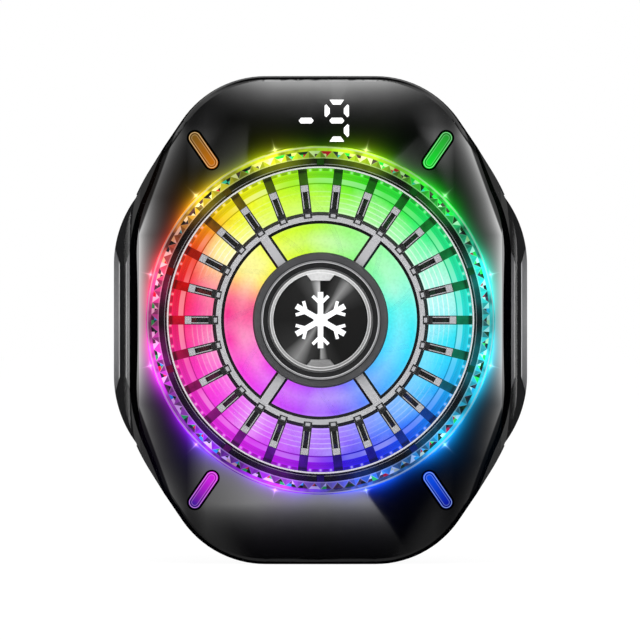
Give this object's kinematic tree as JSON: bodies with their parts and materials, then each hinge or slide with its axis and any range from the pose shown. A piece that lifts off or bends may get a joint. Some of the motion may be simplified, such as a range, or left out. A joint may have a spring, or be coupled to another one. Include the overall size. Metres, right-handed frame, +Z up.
{
  "type": "phone cooling fan",
  "caption": "Clip-on phone cooler: gloss-black domed body, rainbow-lit fan grille in a clear faceted ring, digit display, sprung side arms and a cold plate behind.",
  "frame": {"origin": "centre of the cold face that touches the phone, on the fan axis", "axes": "+X to the viewer's right seen from the front, +Y out of the cold face towards the phone (the fan looks along -Y), +Z up with the digits at the top; the part stands on its flat lower edge"},
  "size_m": [0.064, 0.0367, 0.075],
  "materials": {
    "shell_black": "gloss",
    "crystal_clear": "clear gloss",
    "trim_black": "satin",
    "tab_tint": "translucent",
    "rim_white": "gloss",
    "grille_black": "satin",
    "tip_tint": "translucent",
    "guide_milk": "frosted",
    "diffuser_milk": "frosted",
    "bezel_steel": "brushed",
    "ring_silver": "satin",
    "disc_black": "spun",
    "symbol_white": "gloss",
    "bar_amber": "translucent",
    "bar_green": "translucent",
    "bar_magenta": "translucent",
    "bar_blue": "translucent",
    "segment_white": "gloss",
    "segment_dark": "gloss",
    "module_black": "matte",
    "board_green": "satin",
    "lamp_yellow": "satin",
    "vane_clear": "clear",
    "frame_black": "matte",
    "magnet_grey": "matte",
    "steel": "bright",
    "sleeve_bronze": "satin",
    "core_steel": "satin",
    "coil_copper": "gloss",
    "housing_black": "fine grain",
    "sink_aluminium": "satin",
    "plate_aluminium": "brushed",
    "cooler_ceramic": "matte",
    "pellet_dark": "satin",
    "gasket_rubber": "matte",
    "pad_silicone": "matte",
    "sensor_epoxy": "gloss",
    "socket_steel": "satin",
    "button_black": "satin",
    "arm_black": "satin",
    "strip_grey": "satin",
    "slide_steel": "satin",
    "pinion_plastic": "satin"
  },
  "bodies": {
    "housing": {"front_shell": "shell_black", "crystal_ring": "crystal_clear", "trim_ring": "trim_black", "trim_tabs": "tab_tint", "rim_ring": "rim_white", "front_grille": "grille_black", "spoke_tips": "tip_tint", "light_guide": "guide_milk", "light_diffuser": "diffuser_milk", "hub_bezel": "bezel_steel", "medallion_ring": "ring_silver", "medallion_disc": "disc_black", "hub_emblem": "symbol_white", "light_bar_top_left": "bar_amber", "light_bar_top_right": "bar_green", "light_bar_bottom_left": "bar_magenta", "light_bar_bottom_right": "bar_blue", "display_segments_lit": "segment_white", "display_segments_dark": "segment_dark", "display_module": "module_black", "button_switch": "module_black", "main_board": "board_green", "led_board": "board_green", "light_bar_boards": "board_green", "led_chips": "lamp_yellow", "fan_frame": "frame_black", "housing_screws": "steel", "cold_plate_screws": "steel", "fan_screws": "steel", "pinion_pin": "steel", "left_spring": "steel", "right_spring": "steel", "bearing_sleeve": "sleeve_bronze", "stator_core": "core_steel", "stator_coils": "coil_copper", "mid_housing": "housing_black", "rear_cover": "housing_black", "heatsink": "sink_aluminium", "cold_plate": "plate_aluminium", "peltier_ceramics": "cooler_ceramic", "peltier_pellets": "pellet_dark", "peltier_gasket": "gasket_rubber", "contact_pad": "pad_silicone", "temperature_sensor": "sensor_epoxy", "usb_socket": "socket_steel"},
    "fan": {"impeller": "vane_clear", "rotor_magnet": "magnet_grey", "fan_shaft": "steel"},
    "left_clamp": {"left_arm": "arm_black", "left_slide_plate": "slide_steel", "left_guide_plate": "slide_steel", "left_jaw_pad": "pad_silicone", "left_side_strip": "strip_grey"},
    "right_clamp": {"right_arm": "arm_black", "right_slide_plate": "slide_steel", "right_guide_plate": "slide_steel", "right_jaw_pad": "pad_silicone", "right_side_strip": "strip_grey"},
    "gear": {"pinion": "pinion_plastic"},
    "button": {"mode_button": "button_black"}
  },
  "joints": [
    {"name": "fan_spin", "type": "hinge", "parent": "housing", "child": "fan", "pos_m": [0, -0.0185, 0], "axis": [0, 1, 0], "continuous": true},
    {"name": "left_arm_slide", "type": "slide", "parent": "housing", "child": "left_clamp", "axis": [-1, 0, 0], "range_m": [0, 0.014], "stiffness_N_per_m": 300, "springref_m": -0.01, "deforming": ["left_spring"]},
    {"name": "right_arm_slide", "type": "slide", "parent": "housing", "child": "right_clamp", "axis": [1, 0, 0], "range_m": [0, 0.014], "stiffness_N_per_m": 300, "springref_m": -0.01, "deforming": ["right_spring"]},
    {"name": "pinion_spin", "type": "hinge", "parent": "housing", "child": "gear", "pos_m": [0, -0.0034, 0.0226], "axis": [0, 1, 0], "range_deg": [-230, 0]},
    {"name": "mode_button_press", "type": "slide", "parent": "housing", "child": "button", "axis": [0, 0, -1], "range_m": [0, 0.0006], "stiffness_N_per_m": 400, "springref_m": -0.0005}
  ],
  "couplings": [
    {"joint": "right_arm_slide", "follows": "left_arm_slide", "ratio": 1},
    {"joint": "pinion_spin", "follows": "left_arm_slide", "rad_per_m": -285.71}
  ]
}
